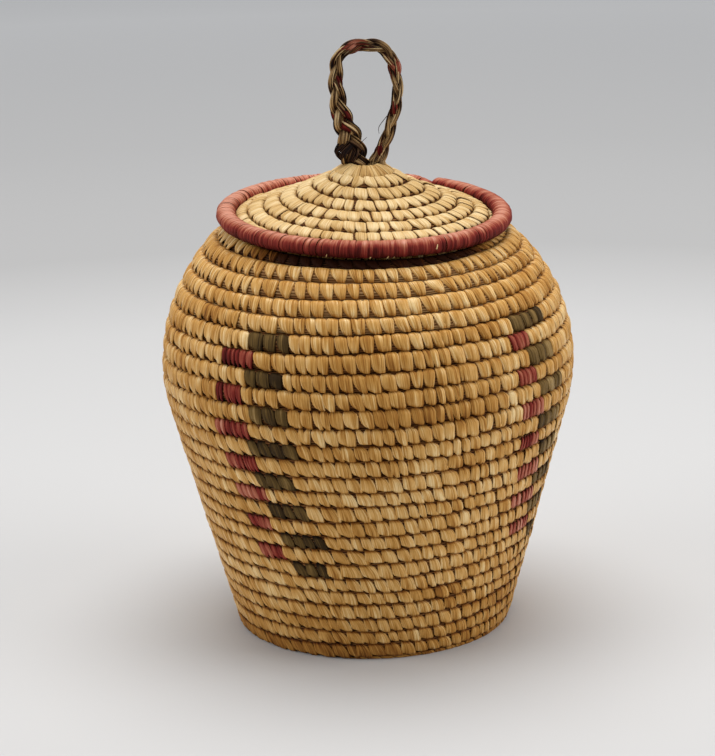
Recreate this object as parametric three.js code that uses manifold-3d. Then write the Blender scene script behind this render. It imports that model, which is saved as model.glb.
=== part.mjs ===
// Grass basket with a lift-off lid: a bundle of grass coiled from the base to the mouth, a second coil
// for the lid and a plaited loop to lift it by. Millimetres, +Z up, the front at -Y.
import * as THREE from "three";
import Module from "manifold-3d";

// Wall, outside sizes
const BELLY_RADIUS = 90;
const BELLY_HEIGHT = 118;
const SHOULDER_ARC = 74; // radius of the arc that closes the wall in above the belly
const WALL_LEAN = (15 * Math.PI) / 180; // the straight lower wall leans out by this much
const MOUTH_ANGLE = (54.7 * Math.PI) / 180; // where the shoulder arc ends, up from the belly
const MOUTH_RISE = 7.7; // the hand-made mouth stands this much higher on one side than on the other
const MOUTH_DROP = 2.8; // and the low side is drawn down by this much
const MOUTH_TURN = (27 * Math.PI) / 180; // the low side lies this far to the right of the front
const RISE_DEPTH = 60; // the rise fades out over this much of the wall below the mouth

// Coil of grass
const COIL_THICKNESS = 7.2;
const COIL_GAP = 0.7; // air between turns
const COIL_THIN = 1.5; // where a coil runs out it is thinned to this
const WALL_TURNS = 26.09;
const WALL_GROWTH = 0.0061; // each turn of the wall is taller than the one below by this share
const BASE_PITCH = 7.2;
const LID_PITCH = 7.5;
const START_TURN = 0.367; // part of a turn by which the wall's start lies off the front
const STEPS = 17; // straight steps in a turn
const SIDES = 6;

// Base
const KNOT_RADIUS = 4.6;
const BASE_THICKNESS = 6.2;
const GROUND_CUT = 0.4; // the wall's first turn is cut flat by this much where it stands

// Turns of the wall at which its sewing changes, counted from the ground
const FOOT_END = 5.867;
const LOWER_BAND_TURNS = 7;
const UPPER_BAND_TURNS = 8;
const SHOULDER_TURNS = 4;

// Lid, in its own frame: the middle of its rim is the origin
const LID_OVERHANG = 0.2; // the middle of the rim coil lies this far outside the mouth's
const LID_SLOPE = (20.4 * Math.PI) / 180;
const LID_THICKNESS = 6.6;
const LID_SINK = 4; // the middle of the lid's coil would meet the rim this far below its middle
const RIM_WIDTH = 8.4;
const RIM_HEIGHT = 7.4;
const RIM_GAP = 0.4;
const LAP = (14 * Math.PI) / 180; // the ends of a ring lie over each other for this much
const LAP_TAPER = (30 * Math.PI) / 180;
const LAP_SHARE = 0.45; // thickness of each end in the lap
const RIM_END = (132 * Math.PI) / 180; // right of the back
const SEAT_GAP = 0.3;
const FLANGE_WIDTH = 6.6;
const FLANGE_CLEARANCE = 1.7; // between the flange and the mouth
const HOLE_RADIUS = 4.2;
const START_WIDTH = 3;

// Plaited loop, in the frame of the lid
const LOOP_HEIGHT = 51.2; // from the lid to the middle of the plait at the top
const LOOP_HALF_WIDTH = 13.3;
const LOOP_OFFSET = 0.8; // the loop leans to the right
const FOOT_SPREAD = 5;
const PLAIT_SWING = 4.1; // of a strand to either side at the thick foot
const PLAIT_DEPTH = 0.7; // the swing front to back, as a share of that
const PLAIT_TAPER = 0.46; // the thin end, as a share of the thick one
const PLAIT_LENGTH = 9; // of one full crossing, in swings
const STRAND_SHARE = 0.5; // radius of a strand, in swings
const STRAND_GAP = 0.24; // kept free round each strand
const STRAND_STEPS = 66;
const TAIL_GAP = 0.4;

const wasm = await Module();
wasm.setup();

const STRAW = 0xd6bb85;
const DYED_RED = 0x8c3f36;
const PLAIT_BROWN = 0x7a5f3b;

function material(color) {
  return new THREE.MeshStandardMaterial({ color, roughness: 0.85 });
}

// A tube skinned over rings of points, with flat ends.
function skin(rings) {
  const count = rings[0].length;
  const points = rings.flat().flatMap((p) => [p.x, p.y, p.z]);
  const faces = [];
  for (let i = 0; i + 1 < rings.length; i++) {
    for (let k = 0; k < count; k++) {
      const a = i * count + k;
      const b = i * count + ((k + 1) % count);
      faces.push(a, a + count, b + count, a, b + count, b);
    }
  }
  const last = (rings.length - 1) * count;
  for (let k = 1; k + 1 < count; k++) {
    faces.push(0, k, k + 1, last, last + k + 1, last + k);
  }
  const geometry = new THREE.BufferGeometry();
  geometry.setAttribute("position", new THREE.Float32BufferAttribute(points, 3));
  geometry.setIndex(faces);
  return geometry;
}

function solidOf(geometry) {
  return new wasm.Manifold(
    new wasm.Mesh({
      numProp: 3,
      vertProperties: new Float32Array(geometry.getAttribute("position").array),
      triVerts: new Uint32Array(geometry.index.array),
    }),
  );
}

function geometryOf(solid) {
  const mesh = solid.getMesh();
  const geometry = new THREE.BufferGeometry();
  geometry.setAttribute("position", new THREE.BufferAttribute(mesh.vertProperties, 3));
  geometry.setIndex(new THREE.BufferAttribute(mesh.triVerts, 1));
  return geometry;
}

// What reaches below the ground is cut off flat.
function standOnGround(geometry) {
  return geometryOf(solidOf(geometry).trimByPlane([0, 0, 1], 0));
}

// A point at an angle round the axis, from the front to the right, at a radius and a height.
function around(angle, radius, height) {
  return new THREE.Vector3(radius * Math.sin(angle), -radius * Math.cos(angle), height);
}

// Middle of the wall as a line and an arc, by the way along it from the ground up.
const WALL_ARC = SHOULDER_ARC - COIL_THICKNESS / 2;
const ARC_CENTRE = BELLY_RADIUS - SHOULDER_ARC;
const ARC_START_HEIGHT = BELLY_HEIGHT - WALL_ARC * Math.sin(WALL_LEAN);
const ARC_START_RADIUS = ARC_CENTRE + WALL_ARC * Math.cos(WALL_LEAN);
const LINE_LENGTH = ARC_START_HEIGHT / Math.cos(WALL_LEAN);
const WALL_LENGTH = LINE_LENGTH + WALL_ARC * (WALL_LEAN + MOUTH_ANGLE);
const WALL_PITCH = WALL_LENGTH / (WALL_TURNS + (WALL_GROWTH * WALL_TURNS * WALL_TURNS) / 2);

function wallAt(way) {
  const up = Math.max(0, way - LINE_LENGTH) / WALL_ARC - WALL_LEAN;
  const below = Math.min(0, way - LINE_LENGTH);
  return {
    radius: ARC_CENTRE + WALL_ARC * Math.cos(up) + below * Math.sin(WALL_LEAN),
    height: BELLY_HEIGHT + WALL_ARC * Math.sin(up) + below * Math.cos(WALL_LEAN),
    up,
  };
}

const MOUTH = wallAt(WALL_LENGTH - WALL_PITCH / 2);
const LID_RADIUS = MOUTH.radius + LID_OVERHANG;
const LID_CROWN = LID_RADIUS * Math.tan(LID_SLOPE) - LID_SINK;

// How far the uneven mouth lifts the wall.
function mouthLift(way, angle) {
  const share = THREE.MathUtils.clamp((way - WALL_LENGTH) / RISE_DEPTH + 1, 0, 1);
  const rise = (MOUTH_RISE * (1 - Math.cos(angle - MOUTH_TURN))) / 2;
  return share * share * (rise - MOUTH_DROP);
}

// Each surface takes a way along its middle, a distance out of it, a step along it and an angle.
function onWall(way, out, step, angle) {
  const { radius, height, up } = wallAt(way);
  const r = radius + out * Math.cos(up) - step * Math.sin(up);
  const z = height + out * Math.sin(up) + step * Math.cos(up);
  return around(angle, r, z + mouthLift(way + step, angle));
}

function onBase(way, out, step, angle) {
  return around(angle, way + step, BASE_THICKNESS / 2 - out);
}

function onLid(way, out, step, angle) {
  const r = (way + step) * Math.cos(LID_SLOPE) - out * Math.sin(LID_SLOPE);
  const z = LID_CROWN - (way + step) * Math.sin(LID_SLOPE) - out * Math.cos(LID_SLOPE);
  return around(angle, r, z);
}

// Six-sided section with two flat sides, towards its neighbours or, pressed, out of the surface.
function section(place, way, half, depth, angle, pressed) {
  const slant = Math.cos(Math.PI / SIDES);
  const ring = [];
  for (let k = 0; k < SIDES; k++) {
    const turn = (2 * Math.PI * (pressed ? k + 0.5 : k)) / SIDES;
    const out = depth * Math.cos(turn);
    const step = half * Math.sin(turn);
    ring.push(place(way, pressed ? out / slant : out, pressed ? step : step / slant, angle));
  }
  return ring;
}

// Turns at which a coil has its rings: its two ends, and every step between them.
function turnsBetween(from, to) {
  const turns = [from];
  for (let i = Math.ceil(from * STEPS + 0.2); i < to * STEPS - 0.2; i++) {
    turns.push(i / STEPS);
  }
  turns.push(to);
  return turns;
}

// A coil between two edges of its surface. Its turns lie edge to edge, and the first and last are
// thinned where they meet the edges, so that these are level.
function coilRings(coil, from, to) {
  return turnsBetween(from, to).map((turn) => {
    const low = Math.max(coil.edge(turn), coil.low);
    const high = Math.min(coil.edge(turn + 1), coil.high);
    const half = (high - low - COIL_GAP) / 2;
    const full = (coil.edge(turn + 1) - coil.edge(turn) - COIL_GAP) / 2;
    const depth = (coil.thickness / 2) * (0.55 + (0.45 * half) / full);
    const angle = 2 * Math.PI * (turn - START_TURN);
    return section(coil.place, (low + high) / 2, half, depth, angle, coil.pressed);
  });
}

const wallCoil = {
  place: onWall,
  edge: (turn) => WALL_PITCH * (turn + (WALL_GROWTH * turn * turn) / 2),
  low: -GROUND_CUT,
  high: WALL_LENGTH,
  thickness: COIL_THICKNESS,
};

// Inside of the wall beside the middle of the base.
const beside = wallAt(BASE_THICKNESS / 2 / Math.cos(WALL_LEAN)).radius;
const baseEdge = beside - COIL_THICKNESS / 2 / Math.cos(WALL_LEAN) - SEAT_GAP;

const baseCoil = {
  place: onBase,
  edge: (turn) => BASE_PITCH * turn,
  low: KNOT_RADIUS + COIL_GAP / 2,
  high: baseEdge + COIL_GAP / 2,
  thickness: BASE_THICKNESS,
  pressed: true,
};

const lidCoil = {
  place: onLid,
  edge: (turn) => LID_PITCH * turn,
  low: (HOLE_RADIUS + START_WIDTH + COIL_GAP / 2) / Math.cos(LID_SLOPE),
  high: (LID_RADIUS - RIM_WIDTH / 2 - RIM_GAP) / Math.cos(LID_SLOPE),
  thickness: LID_THICKNESS,
};

// First and last turn of a coil: where it has grown to its thinnest, and where it is back to that.
function coilEnds(coil) {
  const least = COIL_THIN + COIL_GAP;
  const turnAt = (way) => {
    let low = -2;
    let high = 60;
    while (high - low > 1e-6) {
      const middle = (low + high) / 2;
      if (coil.edge(middle) < way) low = middle;
      else high = middle;
    }
    return low;
  };
  return [turnAt(coil.low + least) - 1, turnAt(coil.high - least)];
}

// A ring whose ends are thinned and lie over each other, one above the other.
function lappedRing(radius, height, width, thickness) {
  const start = START_TURN + RIM_END / (2 * Math.PI);
  const whole = 2 * Math.PI + LAP;
  return turnsBetween(start, start + whole / (2 * Math.PI)).map((turn) => {
    const along = 2 * Math.PI * (turn - start);
    const first = along < whole / 2;
    const fromEnd = first ? along : whole - along;
    const full = THREE.MathUtils.smoothstep(fromEnd, LAP, LAP + LAP_TAPER);
    const left = THREE.MathUtils.lerp(LAP_SHARE, 1, full);
    const shift = (thickness / 2) * (1 - left) * (first ? -1 : 1);
    const place = (way, out, step, angle) => around(angle, way + step, height + shift - out);
    return section(place, radius, (width / 2) * left, (thickness / 2) * left, RIM_END + along);
  });
}

// Least distance between points of a tube that are at least most of a turn apart along it.
function leastGap(rings) {
  let least = Infinity;
  for (let i = 0; i < rings.length; i++) {
    for (let j = i + STEPS - 1; j < Math.min(rings.length, i + STEPS + 2); j++) {
      for (const a of rings[i]) {
        for (const b of rings[j]) least = Math.min(least, a.distanceTo(b));
      }
    }
  }
  return least;
}

const gaps = {};

function tube(name, rings) {
  gaps[name] = leastGap(rings).toFixed(2);
  return skin(rings);
}

// Pressed knot at the middle of the base, flat below.
function baseKnot() {
  const profile = [
    [0, 0],
    [KNOT_RADIUS * 0.78, 0],
    [KNOT_RADIUS, BASE_THICKNESS * 0.25],
    [KNOT_RADIUS, BASE_THICKNESS * 0.7],
    [KNOT_RADIUS * 0.7, BASE_THICKNESS],
    [0, BASE_THICKNESS],
  ];
  return lathe(profile, STEPS);
}

function lathe(profile, steps) {
  const points = profile.map(([r, z]) => new THREE.Vector2(r, z));
  const geometry = new THREE.LatheGeometry(points, steps);
  geometry.rotateX(Math.PI / 2);
  return geometry;
}

// Ring at the middle of the lid that the loop's tails go down through.
const RING_MIDDLE = LID_CROWN - (HOLE_RADIUS + START_WIDTH / 2) * Math.tan(LID_SLOPE);
const RING_BOTTOM = RING_MIDDLE - LID_THICKNESS / 2;
const RING_TOP = RING_MIDDLE + LID_THICKNESS / 2;

function lidStartRing() {
  const outer = HOLE_RADIUS + START_WIDTH;
  const round = START_WIDTH * 0.3;
  return lathe(
    [
      [HOLE_RADIUS, RING_BOTTOM + round],
      [HOLE_RADIUS + round, RING_BOTTOM],
      [outer - round, RING_BOTTOM],
      [outer, RING_BOTTOM + round],
      [outer, RING_TOP - round],
      [outer - round, RING_TOP],
      [HOLE_RADIUS + round, RING_TOP],
      [HOLE_RADIUS, RING_TOP - round],
      [HOLE_RADIUS, RING_BOTTOM + round],
    ],
    STEPS,
  );
}

// Knot below the lid that the loop's tails are tied into.
function tailKnot() {
  const radius = HOLE_RADIUS + START_WIDTH * 0.6;
  const top = RING_BOTTOM - SEAT_GAP;
  const profile = [
    [0, top - radius * 1.1],
    [radius * 0.6, top - radius],
    [radius, top - radius * 0.7],
    [radius, top - radius * 0.25],
    [radius * 0.75, top],
    [0, top],
  ];
  return lathe(profile, 12);
}

// Middle of the plait: up from the left foot, over, down to the right and in through the ring.
function loopCurve() {
  const foot = RING_TOP + PLAIT_SWING * 0.35;
  const at = (x, share) => new THREE.Vector3(LOOP_OFFSET + x, 0, foot + LOOP_HEIGHT * share);
  return new THREE.CatmullRomCurve3(
    [
      new THREE.Vector3(-FOOT_SPREAD, 0, foot),
      at(-0.85 * LOOP_HALF_WIDTH, 0.38),
      at(-LOOP_HALF_WIDTH, 0.73),
      at(0, 1),
      at(LOOP_HALF_WIDTH, 0.73),
      at(0.84 * LOOP_HALF_WIDTH, 0.38),
      at(0.5 * LOOP_HALF_WIDTH, 0.12),
      new THREE.Vector3(0.4, 0, RING_TOP - 1),
      new THREE.Vector3(0, 0, RING_BOTTOM - SEAT_GAP + TAIL_GAP),
    ],
    false,
    "centripetal",
  );
}

// One of the three strands of the plait.
function strandRings(number) {
  const curve = loopCurve();
  const length = curve.getLength();
  const swingAt = (share) => PLAIT_SWING * THREE.MathUtils.lerp(1, PLAIT_TAPER, Math.min(1, share * 1.6));
  const middles = [];
  let crossing = number / 3;
  for (let i = 0; i <= STRAND_STEPS; i++) {
    const share = i / STRAND_STEPS;
    const swing = swingAt(share);
    const point = curve.getPointAt(share);
    const along = curve.getTangentAt(share);
    const aside = new THREE.Vector3(-along.z, 0, along.x);
    point.addScaledVector(aside, swing * Math.sin(2 * Math.PI * crossing));
    point.y += swing * PLAIT_DEPTH * Math.sin(4 * Math.PI * crossing);
    middles.push({ point, radius: STRAND_SHARE * swing - STRAND_GAP });
    crossing += length / STRAND_STEPS / (PLAIT_LENGTH * swing);
  }
  return middles.map(({ point, radius }, i) => {
    const before = middles[Math.max(0, i - 1)].point;
    const after = middles[Math.min(STRAND_STEPS, i + 1)].point;
    const end = i === 0 || i === STRAND_STEPS;
    const along = end ? curve.getTangentAt(i / STRAND_STEPS) : after.clone().sub(before).normalize();
    const front = new THREE.Vector3(0, 1, 0).addScaledVector(along, -along.y).normalize();
    const aside = along.clone().cross(front);
    return Array.from({ length: SIDES }, (_, k) => {
      const turn = (-2 * Math.PI * k) / SIDES;
      return point
        .clone()
        .addScaledVector(front, radius * Math.cos(turn))
        .addScaledVector(aside, radius * Math.sin(turn));
    });
  });
}

function add(group, name, geometry, color) {
  const mesh = new THREE.Mesh(geometry, material(color));
  mesh.name = name;
  group.add(mesh);
}

function wallLength(name, from, to) {
  return tube(name, coilRings(wallCoil, from, to));
}

const basket = new THREE.Group();
const join = 0.0004; // half the gap between two lengths of one coil, in turns
const [wallFirst, wallLast] = coilEnds(wallCoil);
const lowerEnd = FOOT_END + LOWER_BAND_TURNS;
const upperEnd = lowerEnd + UPPER_BAND_TURNS;
const shoulderEnd = upperEnd + SHOULDER_TURNS;
const foot = standOnGround(wallLength("wall_foot_coil", wallFirst, FOOT_END - join));
const lowerBand = wallLength("wall_lower_band_coil", FOOT_END + join, lowerEnd - join);
const upperBand = wallLength("wall_upper_band_coil", lowerEnd + join, upperEnd - join);
const shoulder = wallLength("wall_shoulder_coil", upperEnd + join, shoulderEnd - join);
const mouthLength = wallLength("mouth_coil", shoulderEnd + join, wallLast);
add(basket, "base_start_knot", baseKnot(), STRAW);
add(basket, "base_coil", tube("base_coil", coilRings(baseCoil, ...coilEnds(baseCoil))), STRAW);
add(basket, "wall_foot_coil", foot, STRAW);
add(basket, "wall_lower_band_coil", lowerBand, STRAW);
add(basket, "wall_upper_band_coil", upperBand, STRAW);
add(basket, "wall_shoulder_coil", shoulder, STRAW);
add(basket, "mouth_coil", mouthLength, STRAW);

// The lid lies on the mouth, and leans to its low side with it.
const lid = new THREE.Group();
const mouthTop = MOUTH.height + MOUTH_RISE / 2 - MOUTH_DROP + COIL_THICKNESS / 2;
const hinge = new THREE.Vector3(Math.cos(MOUTH_TURN), Math.sin(MOUTH_TURN), 0);
lid.quaternion.setFromAxisAngle(hinge, Math.atan2(MOUTH_RISE / 2, MOUTH.radius));
lid.position.z = mouthTop + SEAT_GAP + RIM_HEIGHT / 2;
basket.add(lid);

const flangeRadius = MOUTH.radius - COIL_THICKNESS / 2 - FLANGE_CLEARANCE - FLANGE_WIDTH / 2;
const lidUnder = onLid(flangeRadius / Math.cos(LID_SLOPE), LID_THICKNESS / 2, 0, 0).z;
const flangeHeight = lidUnder - RIM_GAP - FLANGE_WIDTH / 2;
add(lid, "lid_start_ring", lidStartRing(), STRAW);
add(lid, "lid_coil", tube("lid_coil", coilRings(lidCoil, ...coilEnds(lidCoil))), STRAW);
add(lid, "lid_rim_coil", tube("lid_rim_coil", lappedRing(LID_RADIUS, 0, RIM_WIDTH, RIM_HEIGHT)), DYED_RED);
add(
  lid,
  "lid_flange_coil",
  tube("lid_flange_coil", lappedRing(flangeRadius, flangeHeight, FLANGE_WIDTH, FLANGE_WIDTH)),
  STRAW,
);
add(lid, "loop_strand_a", skin(strandRings(0)), PLAIT_BROWN);
add(lid, "loop_strand_b", skin(strandRings(1)), PLAIT_BROWN);
add(lid, "loop_strand_c", skin(strandRings(2)), PLAIT_BROWN);
add(lid, "loop_tail_knot", tailKnot(), PLAIT_BROWN);

console.log("least gap of each coil to itself, mm:", JSON.stringify(gaps));

export default basket;
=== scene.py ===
import math

import bmesh
import bpy
import numpy as np
from mathutils import Matrix


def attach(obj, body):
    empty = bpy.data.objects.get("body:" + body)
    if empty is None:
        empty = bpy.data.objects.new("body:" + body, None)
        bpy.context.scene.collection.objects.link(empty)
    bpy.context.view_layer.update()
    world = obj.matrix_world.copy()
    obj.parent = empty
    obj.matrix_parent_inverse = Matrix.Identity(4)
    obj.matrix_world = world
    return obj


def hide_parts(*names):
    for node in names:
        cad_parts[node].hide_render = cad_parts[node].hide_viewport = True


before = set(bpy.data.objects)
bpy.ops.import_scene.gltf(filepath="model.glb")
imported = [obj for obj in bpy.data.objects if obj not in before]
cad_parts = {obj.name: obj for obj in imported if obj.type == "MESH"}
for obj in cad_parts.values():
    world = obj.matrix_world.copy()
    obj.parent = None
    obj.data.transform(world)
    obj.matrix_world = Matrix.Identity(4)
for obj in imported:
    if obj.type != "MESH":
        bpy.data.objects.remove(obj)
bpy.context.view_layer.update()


# Start of the base: the first grass of the coil, doubled up and wound round itself into a small knot.
# Dry split grass, pulled tight by hand and pressed flat where the basket stands on it.
MM = 0.001  # sizes of the pieces are in millimetres
KNOT_RADIUS = 4.6
KNOT_PROFILE = [(0, 0), (0.78, 0), (1, 0.25), (1, 0.7), (0.7, 1), (0.35, 0.94), (0, 0.9)]
KNOT_STEPS = 44
KNOT_RIDGES = 11
KNOT_TONE = 0.5
BASE_THICKNESS = 6.2
# Colour that creases and edges are darkened towards: painted shade, with some dirt.
SHADE_AND_GRIME_COLOUR = (0.07, 0.03, 0.012, 1)
GRASS_TONES = [
    (0.0, (0.110, 0.036, 0.006)),
    (0.25, (0.300, 0.120, 0.022)),
    (0.5, (0.490, 0.234, 0.048)),
    (0.75, (0.685, 0.382, 0.104)),
    (1.0, (0.880, 0.630, 0.290)),
]


class Tint:
    """A socket in a material that takes Python's operators."""

    def __init__(self, tree, socket=None):
        self.tree = tree
        self.socket = socket

    def node(self, kind, sockets, result=0, stops=None, **settings):
        made = self.tree.nodes.new(kind)
        for key, value in settings.items():
            setattr(made, key, value)
        if stops:
            while len(made.color_ramp.elements) < len(stops):
                made.color_ramp.elements.new(1.0)
            for element, (position, colour) in zip(made.color_ramp.elements, stops):
                element.position = position
                element.color = (*colour, 1)
        for key, value in sockets.items():
            if isinstance(value, Tint):
                self.tree.links.new(value.socket, made.inputs[key])
            else:
                made.inputs[key].default_value = value
        return Tint(self.tree, made.outputs[result])

    def math(self, operation, first, second):
        return self.node("ShaderNodeMath", {0: first, 1: second}, operation=operation)

    def __add__(self, other):
        return self.math("ADD", self, other)

    __radd__ = __add__

    def __sub__(self, other):
        return self.math("SUBTRACT", self, other)

    def __rsub__(self, other):
        return self.math("SUBTRACT", other, self)

    def __mul__(self, other):
        return self.math("MULTIPLY", self, other)

    def streaks(self, across, along, detail):
        """Noise drawn out along a blade, with the given grains to a millimetre."""
        drawn = self.node(
            "ShaderNodeVectorMath", {0: self, 1: (across, along, 1)}, operation="MULTIPLY"
        )
        return self.node("ShaderNodeTexNoise", {"Vector": drawn, "Scale": 1, "Detail": detail})


def grass_material(name, tones, sheen, spread=1.0):
    """Split grass: streaks along each blade, its tone, stains, painted shade and dirt in hollows, a sheen on
    pale skin.
    """
    material = bpy.data.materials.new(name)
    material.use_nodes = True
    tree = material.node_tree
    start = Tint(tree)
    strand = start.node("ShaderNodeAttribute", {}, "Vector", attribute_name="strand")
    tone = start.node("ShaderNodeAttribute", {}, "Fac", attribute_name="tone")
    shade_and_grime = start.node("ShaderNodeAttribute", {}, "Fac", attribute_name="shade_and_grime")
    place = start.node("ShaderNodeTexCoord", {}, "Object")
    broad = strand.streaks(0.5, 0.07, 1)
    vein = strand.streaks(1.7, 0.09, 2)
    fine = strand.streaks(4.2, 0.16, 2)
    stain = start.node("ShaderNodeTexNoise", {"Vector": place, "Scale": 38, "Detail": 3})
    streaked = (broad - 0.5) * 0.6 + (vein - 0.5) * 0.9 + (fine - 0.5) * 0.55
    shade = tone + (streaked + (stain - 0.5) * 0.45) * spread
    colour = start.node("ShaderNodeValToRGB", {"Fac": shade}, stops=tones)
    deep = start.node("ShaderNodeGamma", {"Color": colour, "Gamma": 1 + shade_and_grime * 0.8})
    shaded_and_grimed = start.node(
        "ShaderNodeMix",
        {"Factor": shade_and_grime * 0.95, "A": deep, "B": SHADE_AND_GRIME_COLOUR},
        result="Result",
        data_type="RGBA",
        blend_type="MULTIPLY",
    )
    shader = tree.nodes["Principled BSDF"]
    height = vein * 0.7 + fine * 0.3
    bump = start.node("ShaderNodeBump", {"Strength": 0.8, "Distance": 0.0007, "Height": height})
    tree.links.new(shaded_and_grimed.socket, shader.inputs["Base Color"])
    tree.links.new((0.52 + fine * 0.3).socket, shader.inputs["Roughness"])
    tree.links.new(bump.socket, shader.inputs["Normal"])
    polish = start.node(
        "ShaderNodeMapRange",
        {"Value": shade, "From Min": 0.45, "From Max": 1.0, "To Min": 0.0, "To Max": sheen},
    )
    tree.links.new((polish * (1 - shade_and_grime)).socket, shader.inputs["Coat Weight"])
    shader.inputs["Coat Roughness"].default_value = 0.4
    shader.inputs["Specular IOR Level"].default_value = 0.1
    return material


def rides(piece, body, slot, material, *nodes):
    """The piece gets its finish, moves with its body and stands for its solids."""
    piece.data.materials.append(material)
    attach(piece, body)
    if nodes:
        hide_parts(*nodes)


def object_of(name, shape):
    """The shape as an object of the scene, at the origin."""
    mesh = bpy.data.meshes.new(name)
    shape.to_mesh(mesh)
    shape.free()
    piece = bpy.data.objects.new(name, mesh)
    bpy.context.scene.collection.objects.link(piece)
    return piece


def repeat(piece, count, pitch, axis, merge=False):
    """Rows the shape up along an axis, and makes the row its mesh."""
    array = piece.modifiers.new("row", "ARRAY")
    array.count = count
    array.use_relative_offset = False
    array.use_constant_offset = True
    array.constant_offset_displace = [pitch if k == axis else 0 for k in range(3)]
    array.use_merge_vertices = merge
    single = piece.data
    seen = piece.evaluated_get(bpy.context.evaluated_depsgraph_get())
    piece.data = bpy.data.meshes.new_from_object(seen)
    piece.modifiers.clear()
    bpy.data.meshes.remove(single)


def points_of(piece):
    """The places of a piece's vertices, one row each."""
    points = np.empty(len(piece.data.vertices) * 3, dtype=np.float32)
    piece.data.vertices.foreach_get("co", points)
    return points.reshape(-1, 3).astype(float)


def put(piece, points, strand, tone, shade_and_grime):
    """Moves the vertices to their places, given in millimetres, and keeps what the material reads."""
    mesh = piece.data
    mesh.vertices.foreach_set("co", (points * MM).astype(np.float32).ravel())
    kept = mesh.attributes.new("strand", "FLOAT_VECTOR", "POINT")
    kept.data.foreach_set("vector", strand.astype(np.float32).ravel())
    for name, values in (("tone", tone), ("shade_and_grime", shade_and_grime)):
        kept = mesh.attributes.new(name, "FLOAT", "POINT")
        kept.data.foreach_set("value", np.broadcast_to(values, len(points)).astype(np.float32))
    shape = bmesh.new()
    shape.from_mesh(mesh)
    if shape.calc_volume(signed=True) < 0:
        bmesh.ops.reverse_faces(shape, faces=shape.faces[:])
    shape.to_mesh(mesh)
    shape.free()
    mesh.shade_smooth()


shape = bmesh.new()
turned = [shape.verts.new((KNOT_RADIUS * r, 0, BASE_THICKNESS * z)) for r, z in KNOT_PROFILE]
edges = [shape.edges.new(pair) for pair in zip(turned, turned[1:])]
bmesh.ops.spin(
    shape,
    geom=turned + edges,
    cent=(0, 0, 0),
    axis=(0, 0, 1),
    angle=2 * math.pi,
    steps=KNOT_STEPS,
    use_merge=True,
)
bmesh.ops.remove_doubles(shape, verts=shape.verts[:], dist=1e-4)
bmesh.ops.recalc_face_normals(shape, faces=shape.faces[:])
base_knot = object_of("base_start_knot_wound", shape)
points = points_of(base_knot)
angle = np.arctan2(points[:, 1], points[:, 0])
radius = np.hypot(points[:, 0], points[:, 1])
ridge = np.cos(KNOT_RIDGES * angle + 0.5 * points[:, 2])
points[:, :2] *= (1 + 0.06 * ridge * (radius > 1))[:, None]
strand = np.stack([angle * 4, radius, points[:, 2]], axis=1)
# Between its ridges it is painted darker: painted shade, with some dirt.
put(base_knot, points, strand, KNOT_TONE, np.clip(-ridge, 0, 1) * 0.7)
natural_grass = grass_material("natural_grass", GRASS_TONES, 0.9, 1.25)
rides(base_knot, "basket", "natural_grass", natural_grass, "base_start_knot")


# Base: one long bundle of grass, coiled flat from the knot out to the wall. Each turn is sewn to the last
# with a blade of split grass that goes round the bundle and through the turn inside it.
BASE_PITCH = 7.2
BASE_EDGE = 54.4
BASE_STITCH = 6.0
KNOT_GAP = 0.35
START_TURN = 0.367
BUNDLE_LOBES = 18
BUNDLE_STEP = 7.0
BUNDLE_RIDGE = 0.16
BUNDLE_SUNK = 0.75
TUBE_GAP = 10
BUNDLE_TONES = [
    (0.0, (0.045, 0.016, 0.005)),
    (0.45, (0.190, 0.078, 0.022)),
    (0.75, (0.370, 0.188, 0.068)),
    (1.0, (0.550, 0.365, 0.170)),
]
BAND = [(-1, -0.25), (-0.82, 0.4), (0, 0.6), (0.82, 0.4), (1, -0.25), (0, -1)]
BAND_STEPS = 12
BAND_PITCH = 4
BAND_SUNK = 0.5
# Looks of a stitch that most have none of, or as much as this.
PLAIN_STITCH = {
    "top_cut": 0.0,
    "shoulder": 0.3,
    "foot_cut": 0.0,
    "lop": 0.0,
    "tip": 0.0,
    "even": 0.0,
    "fade": 0.0,
    "shade": 0.0,
    "painted_rim_shadow": 0.0,
}
chance = np.random.default_rng(11)


def around(angle, radius, height):
    """A point at an angle from the front to the right, at a radius and a height."""
    return np.stack([radius * np.sin(angle), -radius * np.cos(angle), height], axis=-1)


def angle_of(turn):
    """Angle from the front at which a coil is after that many turns."""
    return 2 * np.pi * (turn - START_TURN)


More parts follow.
